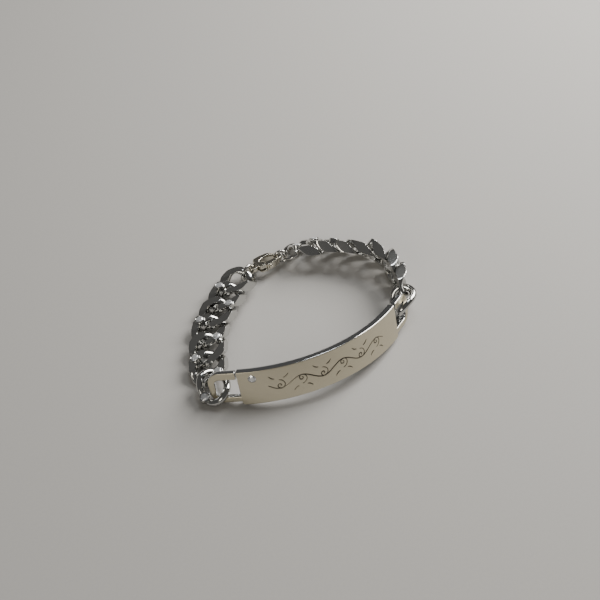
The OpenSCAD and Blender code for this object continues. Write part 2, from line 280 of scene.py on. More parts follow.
def middle_line(turn, long, wide, twist):
    """(long cos t, wide sin t, twist sin 2t), and two directions across the wire there:
    level with the link, and up."""
    centre = np.stack([long * np.cos(turn), wide * np.sin(turn),
                       twist * np.sin(2 * turn)], axis=-1)
    way = unit(np.stack([-long * np.sin(turn), wide * np.cos(turn),
                         2 * twist * np.cos(2 * turn)], axis=-1))
    side = unit(np.cross(way, [0, 0, 1]))
    return centre, side, np.cross(side, way)


# %% Grinding
EDGE_ROUND = 0.07


def ground(values, limit):
    """Holds values between -limit and limit with a softly rounded corner: the smooth
    minimum (a + b - sqrt((a - b)^2 + (2 r)^2)) / 2 of their size a and the limit b."""
    size = np.abs(values)
    held = (size + limit - np.sqrt((size - limit) ** 2 + (2 * EDGE_ROUND) ** 2)) / 2
    return np.sign(values) * np.maximum(held, 0)


def crossing(height, squareness):
    """The angle round a squared circle |cos|^n + |sin|^n = 1 at which it stands at this
    share of its height, kept just under 1 so that every arc has some length."""
    height = np.clip(height, -0.989, 0.989)
    return np.arctan2(height, (1 - np.abs(height) ** squareness) ** (1 / squareness))


def crowded(start, end, count):
    """Numbers from start to end, close together at both ends, the last one left out."""
    share = (1 - np.cos(pi * np.arange(count) / count)) / 2
    return start[:, None] + (end - start)[:, None] * share


# %% The ground wire
def curb_wire(turns=232, sides=(17, 20)):
    """Round the link the wire's centre follows middle_line; round the wire a point stands at
    centre + w cos a side + h sin a up, on a squared circle whose height h and squareness
    grow with sin^4 towards the lobes. The grid has four arcs round the wire, which end
    where the upper and lower ground faces begin."""
    turn = np.linspace(0, TAU, turns, endpoint=False)
    centre, side, up = middle_line(turn, **LINK)
    lobe = np.sin(turn) ** 4
    wide = FULLNESS * WIRE_WIDE + (1 - FULLNESS) * WIRE_WIDE * lobe
    high = FULLNESS * WIRE_HIGH + (LOBE_HIGH - FULLNESS * WIRE_HIGH) * lobe
    square = 2 + 2 * lobe
    upper = (LINK_THICK / 2 - centre[:, 2]) / (high * up[:, 2])
    lower = (LINK_THICK / 2 + centre[:, 2]) / (high * up[:, 2])
    corners = [-crossing(lower, square), crossing(upper, square), pi - crossing(upper, 2),
               pi + crossing(lower, 2), TAU - crossing(lower, square)]
    around = np.hstack([crowded(corners[k], corners[k + 1], sides[k % 2]) for k in range(4)])
    c, s = np.cos(around), np.sin(around)
    n = np.where(c > 0, square[:, None], 2)
    full = (np.abs(c) ** n + np.abs(s) ** n) ** (-1 / n)
    points = (centre[:, None] + (wide[:, None] * c * full)[..., None] * side[:, None]
              + (high[:, None] * s * full)[..., None] * up[:, None])
    points[..., 1] = ground(points[..., 1], LINK_WIDTH / 2)
    points[..., 2] = ground(points[..., 2], LINK_THICK / 2)
    return make_mesh("curb_wire", points.reshape(-1, 3),
                     grid_faces(turns, points.shape[1], True, True))


plain_link = curb_wire()
print("a plain link has", len(plain_link.polygons), "faces")

# %% [markdown]
# ## Tubes and seats for the stones
# Every other link carries a stone on both lobes. Each stands in a short tube that is
# soldered on the ground face, with its wall rubbed over the stone's edge. The tube is
# turned on the lathe, joined to the link and then drilled out, so that it is one metal.

# %% Tubes on a link
STONE_R, STONE_DROP = 1.15, 0.2
TUBE_WALL, TUBE_RISE, TUBE_DEEP = 0.3, 0.45, 0.85
LOBE_TURN = radians(46)
TUBE_R = STONE_R + TUBE_WALL
NO_LENGTH = 0.0003


def tube_blank(top, rim=0.14):
    """A solid pin with a rounded rim, which goes down into the wire."""
    foot = top - TUBE_RISE - TUBE_DEEP
    return lathe("tube", [(0, foot), (TUBE_R, foot),
                          *quarter(TUBE_R - rim, top - rim, rim, 0, 90, 7), (0, top)])


def tube_seat(top, lip=0.07, slack=0.04):
    """What is drilled out: a cone for the stone's back, room for its girdle, and above it
    the mouth, narrower because the wall is rubbed over."""
    girdle, room, mouth = top - STONE_DROP, STONE_R + slack, STONE_R - lip
    return lathe("seat", [(0, girdle - 0.78), (0.35, girdle - 0.74), (room, girdle - 0.1),
                          (room, girdle + 0.06), (mouth, girdle + 0.11), (mouth, top - 0.04),
                          (mouth + 0.1, top + 0.06), (STONE_R, top + 1), (0, top + 1)])


def with_tubes(mesh, places, top):
    """The link with a drilled tube at each place on it. The cuts leave some edges that have
    no length, which are dissolved, so that the mesh stays closed."""
    for shape, operation in ((tube_blank, "UNION"), (tube_seat, "DIFFERENCE")):
        for x, y in places:
            tool = shape(top)
            tool.transform(Matrix.Translation((x * MM, y * MM, 0)))
            mesh = combine(mesh, tool, operation)
    return reworked(mesh, lambda work: bmesh.ops.dissolve_degenerate(
        work, edges=work.edges, dist=NO_LENGTH * MM))


lobe = np.array([LINK["long"] * cos(LOBE_TURN), LINK["wide"] * sin(LOBE_TURN)])
LINK_TOP = LINK_THICK / 2 + TUBE_RISE
stone_link = with_tubes(plain_link.copy(), [lobe, -lobe], LINK_TOP)
print("a link with two tubes has", len(stone_link.polygons), "faces")

# %% [markdown]
# A polisher leaves the ground faces dead flat, and the hollows of the wire are painted darker, as
# painted shade.
# The material needs to know which is which, so each point keeps two facts: how near it is
# to a ground face, and its place on the link. The second lets fine scratches follow the link
# wherever it lies.

# %% What each point of a link knows
LINK_CREASE = 32
GROUND_FADE, TUBE_FOOT = 0.12, 1.65


def finish_link(mesh, is_ground=True):
    """Keeps on the mesh where its ground faces are, without the tubes that stand on them,
    and each point's place on the link."""
    points = mesh_points(mesh)
    high = np.abs(points[:, 2])
    face = 1 - np.clip((LINK_THICK / 2 - high) / GROUND_FADE, 0, 1)
    edge = 1 - np.clip((LINK_WIDTH / 2 - np.abs(points[:, 1])) / GROUND_FADE, 0, 1)
    ground_share = np.maximum(face * (high < TUBE_FOOT), edge) * is_ground
    put_attribute(mesh, "ground", "FLOAT", ground_share)
    put_attribute(mesh, "place", "FLOAT_VECTOR", points)
    rounded(mesh, LINK_CREASE)


for mesh in (plain_link, stone_link):
    finish_link(mesh)
print("kept at each point:", [layer.name for layer in stone_link.attributes
                              if layer.domain == "POINT"])

# %% [markdown]
# The finished links go on the route at an even pitch, and each takes the place of its own
# solid. A link lies well when it stays inside its solid's box, so the distances are printed.

# %% Links on the route
RIGHT_PITCH, LEFT_PITCH, FIRST_RIGHT, FIRST_LEFT = 5.72, 6.15, 8.12, 8.5
LAST_RIGHT, LAST_LEFT = 8, 7
link_run = {f"right_{i}": FIRST_RIGHT + RIGHT_PITCH * (i - 2) for i in range(2, LAST_RIGHT + 1)}
link_run |= {f"left_{i}": run[-1] - FIRST_LEFT - LEFT_PITCH * (i - 2)
             for i in range(2, LAST_LEFT + 1)}
link_places, links = {}, []
for name, s in link_run.items():
    number = int(name.split("_")[1])
    place = on_route(s, np.interp(s, run, line[:, 2]), LINK_WIDTH / 2, LINK_THICK / 2)
    link = set_down(stone_link if number % 2 == 0 else plain_link, f"curb_{name}", place)
    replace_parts(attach(link, "bracelet"), f"link_{name}")
    link_places[name] = place
    links.append(link)
    low, high = (np.array(corner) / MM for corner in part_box(f"link_{name}"))
    points = mesh_points(link.data)
    print(link.name, "is inside its solid's box by",
          np.round(points.min(0) - low, 2), np.round(high - points.max(0), 2))

# %% [markdown]
# ## The link in each hook
# Where the chain meets the plate, a plain oval of round wire hangs in the hook. Nothing is
# ground off it, so the same middle line is carried with a full round wire. The left one
# has a stone on its lower end.

# %% Hook links
HOOK_LINK = dict(long=4.4, wide=3.5, twist=1)
HOOK_WIRE, HOOK_FULLNESS = 1, 0.97
HOOK_STONE_TURN = radians(-60)


def oval_wire(turns=128, sides=28):
    """A round wire of radius w: centre + w cos a side + w sin a up. It is a hair thinner
    than the solid, so that it clears its neighbours."""
    turn = np.linspace(0, TAU, turns, endpoint=False)
    centre, side, up = middle_line(turn, **HOOK_LINK)
    around = np.linspace(0, TAU, sides, endpoint=False)[None, :, None]
    points = centre[:, None] + HOOK_FULLNESS * HOOK_WIRE * (np.cos(around) * side[:, None]
                                                            + np.sin(around) * up[:, None])
    return make_mesh("oval_wire", points.reshape(-1, 3), grid_faces(turns, sides, True, True))


hook_lobe = [HOOK_LINK["long"] * cos(HOOK_STONE_TURN), HOOK_LINK["wide"] * sin(HOOK_STONE_TURN)]
HOOK_TOP = HOOK_LINK["twist"] * sin(2 * HOOK_STONE_TURN) + HOOK_WIRE + TUBE_RISE
left_hook_place = turned([-28.48, 14.31, 2.98], [6.4, 9, -98.2])
right_hook_place = turned([29.05, 14.74, 4.48], [44, 20.5, -137.1])
oval_left = with_tubes(oval_wire(), [hook_lobe], HOOK_TOP)
oval_right = oval_wire()
for side, mesh, place in (("left", oval_left, left_hook_place),
                          ("right", oval_right, right_hook_place)):
    finish_link(mesh, is_ground=False)
    oval = set_down(mesh, f"oval_link_{side}", place)
    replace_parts(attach(oval, "bracelet"), f"hook_link_{side}")
    links.append(oval)
print("hook links:", [piece.name for piece in links[-2:]])

# %% [markdown]
# ## Cut stones
# A round brilliant has a flat table, eight kites and sixteen small triangles on its crown,
# a narrow girdle, and long facets that meet in a point below. All its corners lie on a few
# rings of sixteen points, of which every other one is pulled in, so each facet comes out
# flat. Clear glass stones such as these have foil behind them, which the material gives.

# %% A brilliant
PLATE_STONE_R = 1.05


def brilliant(name, r, crown=0.30, deep=0.62, girdle=0.05):
    """Rings of 16 points, each with one radius and height for the even corners and one
    for the odd corners, in shares of the stone's radius, and a point below. The crown's
    height falls evenly from the table to the girdle, and the back's rises from the point."""
    n, table, kite, star, back = 16, 0.56, 0.758, 0.78, 0.35
    half = cos(TAU / n)
    crown_drop = (crown - girdle) / (1 - table)

    def on_crown(reach):
        return crown - (reach - table) * crown_drop

    low = (deep - girdle) * back * half - deep
    rows = np.array([
        [table, crown, table * half, crown],
        [kite, on_crown(kite), star, on_crown(star * half)],
        [1, girdle, 1, girdle],
        [1, -girdle, 1, -girdle],
        [back * half, low, back, low]])
    k = np.arange(n)
    turn, odd = k * TAU / n, (k % 2).astype(float)
    radius = np.outer(rows[:, 0], 1 - odd) + np.outer(rows[:, 2], odd)
    height = np.outer(rows[:, 1], 1 - odd) + np.outer(rows[:, 3], odd)
    rings = np.stack([radius * np.cos(turn), radius * np.sin(turn), height], axis=-1)
    last_row = (len(rows) - 1) * n
    point = np.stack([last_row + k, last_row + (k + 1) % n, np.full(n, last_row + n)], axis=-1)
    points = np.vstack([rings.reshape(-1, 3), [[0, 0, -deep]]]) * r
    return make_mesh(name, points, grid_faces(len(rows), n, False, True), [list(range(n))], point)


# Faces that lie lower than the girdle get the second material, the foil.
stone_cut, plate_cut = brilliant("stone_cut", STONE_R), brilliant("plate_cut", PLATE_STONE_R)
for mesh in (stone_cut, plate_cut):
    heights = np.array([face.center.z for face in mesh.polygons])
    mesh.polygons.foreach_set("material_index", (heights < -0.06 * STONE_R * MM).astype(int))
print("a brilliant has", len(stone_cut.polygons), "facets and girdle faces")


def lifted(place, x, y, z):
    """A place moved by (x, y, z) of its own directions."""
    moved = place.copy()
    moved[:3, 3] += place[:3, :3] @ np.array([x, y, z])
    return moved


# %% [markdown]
# Each stone sits a little below its tube's rim. The places of the links are known, so a
# stone's place is its link's place, moved to the lobe and up.

# %% Stones in their tubes
stones = []


def set_stone(mesh, name, place, node):
    """Puts a stone in its place, instead of the solid of that node."""
    stone = set_down(mesh, name, place)
    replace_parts(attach(stone, "bracelet"), node)
    stones.append(stone)


for name, place in link_places.items():
    if int(name.split("_")[1]) % 2 == 0:
        for half, sign in (("upper", 1), ("lower", -1)):
            set_stone(stone_cut, f"brilliant_{name}_{half}",
                      lifted(place, *(sign * lobe), LINK_TOP - STONE_DROP),
                      f"stone_{name}_{half}")
set_stone(stone_cut, "brilliant_left_1",
          lifted(left_hook_place, *hook_lobe, HOOK_TOP - STONE_DROP), "stone_left_1")
print(len(stones), "stones in tubes, each with", len(stone_cut.polygons), "faces")

# %% [markdown]
# ## The name plate
# The plate is a strip of sheet bent to the wrist, with its edges broken by a fine bevel.
# It is a profile carried along an arc: the same rounded rectangle at every angle,
# except near the ends, where it shrinks into a softened end and its lower corner rounds.
# The engraver's scroll is cut into the face itself: points near a stroke move in.

# %% A rounded rectangle that can stretch
PLATE_R, PLATE_ARC, PLATE_HIGH, PLATE_THICK = 41.3, radians(35), 10.2, 1.9
PLATE_LEAN_DEGREES = 22
PLATE_LEAN = radians(PLATE_LEAN_DEGREES)
HOOK_LONG, HOOK_BAR, HOOK_TOP_ARM, HOOK_LOW_ARM = 8, 1.8, 2.2, 1.7
HOOK_RISE, HOOK_CORNER, HOOK_THICK, HOOK_BACK = 1, 3.2, 1.5, 0.05
FRONT_BEVEL, BACK_BEVEL, PLATE_ROWS = 0.25, 0.2, 116


def stretched_loop(thick, front_round, back_round, front_count, back_count=14, corner=6):
    """A rounded rectangle as three arrays: the depth of each point, its share w of the
    height, and an offset, so that its height is low + offset + w (high - low)."""
    rise = np.linspace(0, 1, front_count)
    fall = np.linspace(1, 0, back_count)

    def bend(depth, share, offset, r, start):
        a = np.radians(np.linspace(start, start - 90, corner + 2)[1:-1])
        return np.stack([depth - r * np.cos(a + pi), np.full(corner, share),
                         offset + r * np.sin(a)], axis=-1)

    front = np.stack([0 * rise, rise, front_round * (1 - 2 * rise)], axis=-1)
    back = np.stack([0 * fall + thick, fall, back_round * (1 - 2 * fall)], axis=-1)
    return np.vstack([
        front, bend(front_round, 1, -front_round, front_round, 180),
        bend(thick - back_round, 1, -back_round, back_round, 90),
        back, bend(thick - back_round, 0, back_round, back_round, 0),
        bend(front_round, 0, front_round, front_round, -90)]).T


section = stretched_loop(PLATE_THICK, FRONT_BEVEL, BACK_BEVEL, PLATE_ROWS)
print("points round the plate's section:", section.shape[1])

# %% [markdown]
# The plate's face carries a running scroll, a traditional ornament of silversmiths: a vine
# that waves along the plate, with a spiral curling off at every wave and small leaves
# beyond. It could be a bump in the material, but cuts in the mesh show in the shape
# itself, without the material. A stroke is a line of points with a width at each, thin at
# its ends and full in the middle, as a graver cuts it.

# %% The scroll
SCROLL_MIDDLE, VINE_HALF = 5.0, 17.5
WAVE_LONG, WAVE_HIGH, WAVES = 11.6, 1.25, 6
VINE_CUT, SPIRAL_CUT, LEAF_CUT = 0.2, 0.19, 0.18


def stroke(x, y, fullest):
    """A line of points and the half width of the cut there, which swells and thins."""
    swell = np.sin(np.linspace(0.12, 0.93, len(x)) * pi)
    return np.stack([x, y, fullest * (0.35 + 0.65 * swell)], axis=-1)


def spiral(x, y, hand, turns=1.5, size=1.75, closing=0.22):
    """r shrinks evenly in ratio while the angle runs: r = size e^(-closing a). The hand is
    1 or -1 and says which way it turns."""
    a = np.linspace(0, turns * TAU, 160)
    r = size * np.exp(-closing * a)
    way = hand * (a - pi / 2)
    return stroke(x + r * np.cos(way), y + r * np.sin(way), SPIRAL_CUT)


def scroll_strokes():
    """The vine y = high sin(x TAU / long), and for each half wave a spiral in its hollow and
    beyond that two leaves, each a short parabola."""
    x = np.linspace(-VINE_HALF, VINE_HALF, 500)
    t = np.linspace(0, 1, 60)
    strokes = [stroke(x, SCROLL_MIDDLE + WAVE_HIGH * np.sin(x * TAU / WAVE_LONG), VINE_CUT)]
    for k in range(WAVES):
        centre, hand = (k - (WAVES - 1) / 2) * WAVE_LONG / 2, 1 if k % 2 else -1
        strokes.append(spiral(centre, SCROLL_MIDDLE + hand * 0.35, hand))
        for lean in (-1, 1):
            strokes.append(stroke(centre + lean * (1.2 + 1.3 * t),
                                  SCROLL_MIDDLE - hand * (1.9 + 0.9 * t * t), LEAF_CUT))
    return strokes


def cut_depth(x, y, deepest=0.13, reach=0.4):
    """Depth of the engraving at each point: a V as wide as the nearest stroke there. Only
    points within reach of a stroke are measured against it."""
    depth = np.zeros_like(x)
    for line_of_cut in scroll_strokes():
        near = ((x > line_of_cut[:, 0].min() - reach) & (x < line_of_cut[:, 0].max() + reach))
        gaps = np.hypot(x[near][:, None] - line_of_cut[None, :, 0],
                        y[near][:, None] - line_of_cut[None, :, 1])
        nearest = gaps.argmin(axis=1)
        share = 1 - gaps.min(axis=1) / line_of_cut[nearest, 2]
        depth[near] = np.maximum(depth[near], deepest * np.clip(share, 0, 1))
    return depth


print("strokes in the scroll:", len(scroll_strokes()))

# %% [markdown]
# The plate's grid is fine along the face, a tenth of a millimetre, so that the strokes
# are cut cleanly.

# %% The plate's band
def plate_band(columns=500, end_round=0.2):
    """For each angle of the arc the loop stands at radius R - depth; near the ends it
    shrinks by r - sqrt(r^2 - (r - d)^2), with d the distance to the end."""
    half_long = PLATE_R * PLATE_ARC
    ends = half_long - end_round * (1 - np.cos(np.linspace(0, pi / 2, 6)))[:-1]
    middle = np.linspace(-ends[-1], ends[-1], columns)[1:-1]
    along = np.concatenate([-ends, middle, ends[::-1]])
    depth, share, offset = section
    over = np.maximum(np.abs(along) - (half_long - HOOK_RISE), 0)
    low = HOOK_RISE - np.sqrt(np.maximum(HOOK_RISE ** 2 - over ** 2, 0))
    height = low[:, None] + offset + share * (PLATE_HIGH - low)[:, None]
    deep = np.broadcast_to(depth, height.shape).copy()
    face = (deep == 0)
    x = np.broadcast_to(along[:, None], height.shape)
    deep[face] += cut_depth(x[face], height[face])
    distance = half_long - np.abs(along)
    shrink = end_round - np.sqrt(end_round ** 2 - np.maximum(end_round - distance, 0) ** 2)
    deep += (shrink / (PLATE_THICK / 2))[:, None] * (PLATE_THICK / 2 - deep)
    centre = ((low + PLATE_HIGH) / 2)[:, None]
    height += (shrink[:, None] / (PLATE_HIGH / 2)) * (centre - height)
    angle = (along / PLATE_R)[:, None]
    points = np.stack([(PLATE_R - deep) * np.sin(angle),
                       PLATE_R - (PLATE_R - deep) * np.cos(angle), height], axis=-1)
    count = points.shape[1]
    last = (len(along) - 1) * count
    return make_mesh("plate_band", points.reshape(-1, 3),
                     grid_faces(len(along), count, False, True),
                     [list(range(count))], [list(range(last, last + count))])


band = plate_band()
print("the plate's band has", len(band.polygons), "faces")

# %% [markdown]
# ## The hooks
# Each end of the plate carries on as a flat bar that runs out, turns up and comes back
# to the plate, leaving a mouth where the chain's oval was slipped in before the bar was
# pressed down. Its inner and outer outlines are both two straights and two quarter rounds
# in the same order, so the bar is the same stretched loop, carried between them.

# %% The hooks' outlines
HOOK_SUNK, HOOK_INNER_CORNER, HOOK_BEVEL = 0.3, 1.2, 0.3


def outline(long, low, high, corner, start, mouth, counts=(14, 14, 10)):
    """Straight out, a quarter round up, straight up, a quarter round back, and straight
    back to the mouth, as points (x, height)."""
    straight, bend, rise = counts
    return np.array([
        *zip(np.linspace(start, long - corner, straight), np.full(straight, low)),
        *quarter(long - corner, low + corner, corner, -90, 0, bend)[1:],
        *zip(np.full(rise, long), np.linspace(low + corner, high - corner, rise)),
        *quarter(long - corner, high - corner, corner, 0, 90, bend)[1:],
        *zip(np.linspace(long - corner, mouth, straight)[1:], np.full(straight - 1, high))])


# %% The hooks
def hook(mouth, end_round=0.25, tip_steps=6):
    """The loop spans from the inner to the outer outline at every step, and shrinks at
    the free end."""
    outer = outline(HOOK_LONG, HOOK_RISE, PLATE_HIGH, HOOK_CORNER, -HOOK_SUNK, mouth)
    inner = outline(HOOK_LONG - HOOK_BAR, HOOK_RISE + HOOK_LOW_ARM,
                    PLATE_HIGH - HOOK_TOP_ARM, HOOK_INNER_CORNER, -HOOK_SUNK, mouth)
    back = end_round * (1 - np.cos(np.linspace(0, pi / 2, tip_steps)))[::-1]
    tips = [np.stack([mouth + back, np.full(tip_steps, edge[-1][1])], axis=-1)
            for edge in (outer, inner)]
    outer, inner = np.vstack([outer[:-1], tips[0]]), np.vstack([inner[:-1], tips[1]])
    depth, share, offset = stretched_loop(HOOK_THICK, HOOK_BEVEL, HOOK_BEVEL, 10, 8)
    across = outer - inner
    width = np.linalg.norm(across, axis=1)
    reach = (offset + share * width[:, None])
    distance = np.full(len(outer), end_round)
    distance[-tip_steps:] = back
    shrink = end_round - np.sqrt(np.maximum(end_round ** 2 - (end_round - distance) ** 2, 0))
    reach += (shrink / (width / 2))[:, None] * (width[:, None] / 2 - reach)
    deep = depth + (shrink / (HOOK_THICK / 2))[:, None] * (HOOK_THICK / 2 - depth)
    flat = inner[:, None] + (across / width[:, None])[:, None] * reach[..., None]
    points = np.stack([flat[..., 0], HOOK_BACK + deep, flat[..., 1]], axis=-1)
    count = points.shape[1]
    last = (len(outer) - 1) * count
    return points.reshape(-1, 3), [grid_faces(len(outer), count, False, True),
                                   [list(range(count))], [list(range(last, last + count))]]


def on_arc(points, angle):
    """Points moved from the middle of the plate to an angle of its arc."""
    centre = np.array([0, PLATE_R, 0])
    c, s = cos(angle), sin(angle)
    return (points - centre) @ np.array([[c, s, 0], [-s, c, 0], [0, 0, 1]]) + centre


# The right hook is pressed down less far than the left one, so its mouth is wider.
plate_mesh = band
for side, mouth in ((1, 0.75), (-1, 0.25)):
    points, faces = hook(mouth)
    points[:, 0] *= side
    bar = make_mesh("hook", on_arc(points, side * PLATE_ARC), *faces)
    plate_mesh = combine(plate_mesh, bar, "UNION")
print("plate and hooks:", len(plate_mesh.polygons), "faces")

# %% [markdown]
# The stone near the plate's left end sits in a drilled seat, which is turned to face out of
# the arc there. The plate leans back when it goes to its place on the table.

# %% The stone's seat
PLATE_STONE_TURN, PLATE_STONE_HIGH, PLATE_STONE_DROP = radians(-29.5), 7.9, 0.05
seat = lathe("plate_seat", [(0, -0.75), (0.4, -0.72), (PLATE_STONE_R + 0.03, -0.2),
                            (PLATE_STONE_R + 0.03, 0.5), (0, 0.5)])
centre = np.array([0, PLATE_R, 0])
arc_place = np.eye(4)
arc_place[:3, :3] = (on_arc(np.eye(3) + centre, PLATE_STONE_TURN) - centre).T
arc_place[:3, 3] = on_arc(np.zeros((1, 3)), PLATE_STONE_TURN)[0] + [0, 0, PLATE_STONE_HIGH]
facing = arc_place @ np.array(Matrix.Rotation(pi / 2, 4, "X"))
seat.transform(in_metres(facing))
plate_mesh = combine(plate_mesh, seat, "DIFFERENCE")
print("with the seat:", len(plate_mesh.polygons), "faces")

# %% [markdown]
# Two facts are kept at each point for the material: how squarely it faces outwards, because
# only the face is brushed and carries the painted reflection, and how deep it is engraved,
# because the cuts hold black.

# %% What each point of the plate knows
# The lean sinks the plate's ends and its lower back edge; LIFT brings them up to the table.
PLATE_CREASE, FACE_DEEP, BACK_EDGE_SINKS = 35, 0.2, 0.66
LIFT = PLATE_R * (1 - cos(PLATE_ARC)) * sin(PLATE_LEAN) + BACK_EDGE_SINKS
lean_place = turned([0, 0, LIFT], [-PLATE_LEAN_DEGREES, 0, 0])
points = mesh_points(plate_mesh)
normals = np.empty(points.size)
plate_mesh.vertices.foreach_get("normal", normals)
angle = np.arctan2(points[:, 0], PLATE_R - points[:, 1])
outwards = unit(np.stack([np.sin(angle), -np.cos(angle), 0 * angle], axis=-1))
facing_out = (normals.reshape(-1, 3) * outwards).sum(axis=1)
near_face = PLATE_R - np.hypot(points[:, 0], PLATE_R - points[:, 1]) < FACE_DEEP
engraved = near_face * cut_depth(PLATE_R * angle, points[:, 2], deepest=1)
put_attribute(plate_mesh, "brushed", "FLOAT", np.clip((facing_out - 0.5) / 0.4, 0, 1))
put_attribute(plate_mesh, "engraved", "FLOAT", engraved)
rounded(plate_mesh, PLATE_CREASE)
plate = set_down(plate_mesh, "name_plate", lean_place)
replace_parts(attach(plate, "bracelet"), "plate")
set_stone(plate_cut, "brilliant_plate", lifted(lean_place @ facing, 0, 0, -PLATE_STONE_DROP),
          "stone_plate")
print("plate in mm:", np.round(mesh_points(plate.data).min(0), 2),
      np.round(mesh_points(plate.data).max(0), 2))

# %% [markdown]
# ## Jump rings
# A jump ring is wire wound on a rod and cut, so it has a fine butt joint where its two
# ends are closed against each other. The wire's circle is carried round almost a full turn
# and capped at both ends.

# %% Rings
JUMP_WIRE, RING_CREASE = 0.45, 50


def jump_ring(r, slit=0.03, turns=120, sides=24):
    """x = (r + w cos b) cos a, y = (r + w cos b) sin a, z = w sin b, with a just short
    of a full turn."""
    a = np.linspace(slit / r / 2, TAU - slit / r / 2, turns)[:, None]
    b = np.linspace(0, TAU, sides, endpoint=False)[None]
    reach = r + JUMP_WIRE * np.cos(b)
    points = np.stack([reach * np.cos(a), reach * np.sin(a),
                       JUMP_WIRE * np.sin(b) + 0 * a], axis=-1)
    last = (turns - 1) * sides
    return make_mesh("jump_ring", points.reshape(-1, 3), grid_faces(turns, sides, False, True),
                     [list(range(sides))], [list(range(last, last + sides))])


# Each ring's side, its middle, its tilt and turn in degrees, and its radius.
rings = []
for side, point, tilt, turn, r in (("right", [10.98, 46.1, 4.14], 26.2, 155.5, 2.5),
                                   ("middle", [7.99, 46.79, 2.94], 105.3, 72.1, 1.8),
                                   ("left", [-3.34, 45.54, 3.03], 92.2, 115.6, 2.5)):
    mesh = jump_ring(r)
    rounded(mesh, RING_CREASE)
    ring = set_down(mesh, f"cut_ring_{side}", turned(point, [0, tilt, turn]))
    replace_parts(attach(ring, "bracelet"), f"jump_ring_{side}")
    rings.append(ring)
print("jump rings:", [ring.name for ring in rings])

# %% [markdown]
# ## The clasp
# The body and the lever are cast pieces, tumbled with grit until every edge is soft. Their
# solids already have the right outline. So a merged copy of each is remeshed into small
# even faces, and a smoothing modifier rounds the edges as tumbling does.

# %% Clasp with softened edges
SAME_POINT = 0.002


def softened(node, name, body, grain, rounds):
    """A copy of a solid with its points merged, remeshed in voxels of this many mm, and
    smoothed so many times over."""
    mesh = reworked(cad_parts[node].data.copy(), lambda work: bmesh.ops.remove_doubles(
        work, verts=work.verts, dist=SAME_POINT * MM))
    mesh.materials.clear()
    piece = show(name, mesh)
    remesh = piece.modifiers.new("even faces", "REMESH")
    remesh.mode, remesh.voxel_size, remesh.use_smooth_shade = "VOXEL", grain * MM, True
    smooth = piece.modifiers.new("tumbled edges", "SMOOTH")
    smooth.factor, smooth.iterations = 0.5, rounds
    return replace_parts(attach(piece, body), node)


clasp_shell = softened("clasp_body", "clasp_shell", "bracelet", 0.08, 50)
clasp_trigger = softened("clasp_lever", "clasp_trigger", "lever", 0.06, 30)
print("clasp pieces:", clasp_shell.name, clasp_trigger.name)

# %% [markdown]
# ## Shader maths in plain Python
# A material is a tree of small nodes. The class below wraps one output of a node, so that
# sums and products of outputs can be written as ordinary expressions.

# %% Sockets that add and multiply
class Signal:
    """One output of a node; arithmetic on it adds Math nodes."""

    def __init__(self, shader, socket):
        self.shader, self.socket = shader, socket

    def math(self, operation, *values):
        """A Math node with these values or signals on its sockets, in order."""
        return self.shader.node("ShaderNodeMath", {"operation": operation},
                                dict(enumerate(values)))

    def __add__(self, other):
        return self.math("ADD", self, other)

    def __radd__(self, other):
        return self.math("ADD", other, self)

    def __rsub__(self, other):
        return self.math("SUBTRACT", other, self)

    def __mul__(self, other):
        return self.math("MULTIPLY", self, other)

    def __rmul__(self, other):
        return self.math("MULTIPLY", other, self)


class Finish:
    """A material and its node tree, with a Principled shader at the end."""

    def __init__(self, name):
        self.material = bpy.data.materials.new(name)
        self.material.use_nodes = True
        self.tree = self.material.node_tree
        self.surface = self.tree.nodes["Principled BSDF"]

    def node(self, kind, settings=(), values=(), output=0):
        """Adds a node: its settings first, then the numbers or links of its sockets."""
        node = self.tree.nodes.new(kind)
        for key, value in dict(settings).items():
            setattr(node, key, value)
        for key, value in dict(values).items():
            self.feed(node.inputs[key], value)
        return Signal(self, node.outputs[output])

    def feed(self, socket, value):
        """Links a signal to a socket, or sets the socket to a number or colour."""
        if isinstance(value, Signal):
            self.tree.links.new(value.socket, socket)
        else:
            socket.default_value = value

    def set(self, **values):
        """Feeds the surface's own sockets, named with _ for a space."""
        for key, value in values.items():
            self.feed(self.surface.inputs[key.replace("_", " ")], value)

    def attribute(self, name, output="Fac"):
        """What the points keep under this name, as a number or as a Vector."""
        return self.node("ShaderNodeAttribute", {"attribute_name": name}, output=output)

    def where(self):
        """Each point's place in the object's own coordinates, in metres."""
        return self.node("ShaderNodeTexCoord", output="Object")

    def noise(self, where, scale, detail=4, roughness=0.5):
        """A cloudy pattern from 0 to 1 whose spots get smaller as the scale grows."""
        return self.node("ShaderNodeTexNoise", {}, {"Vector": where, "Scale": scale,
                                                    "Detail": detail, "Roughness": roughness})

    def relief(self, strength, high, height):
        """A Bump node: bumps this many mm high where the height is 1."""
        return self.node("ShaderNodeBump", {}, {"Strength": strength, "Distance": high * MM,
                                                "Height": height})

    def tint(self, share, first, second):
        """From the first colour to the second as share goes from 0 to 1; either may be a
        signal itself."""
        ends = [end if isinstance(end, Signal) else (*end, 1) for end in (first, second)]
        return self.node("ShaderNodeMix", {"data_type": "RGBA"},
                         {0: share, 6: ends[0], 7: ends[1]}, output=2)


def dress(pieces, slot, *materials):
    """Gives pieces their materials in order, and names the slot of the part they show."""
    for piece in pieces:
        piece.data.materials.clear()
        for material in materials:
            piece.data.materials.append(material)
    print(len(pieces), "in slot", slot, "get", [material.name for material in materials])
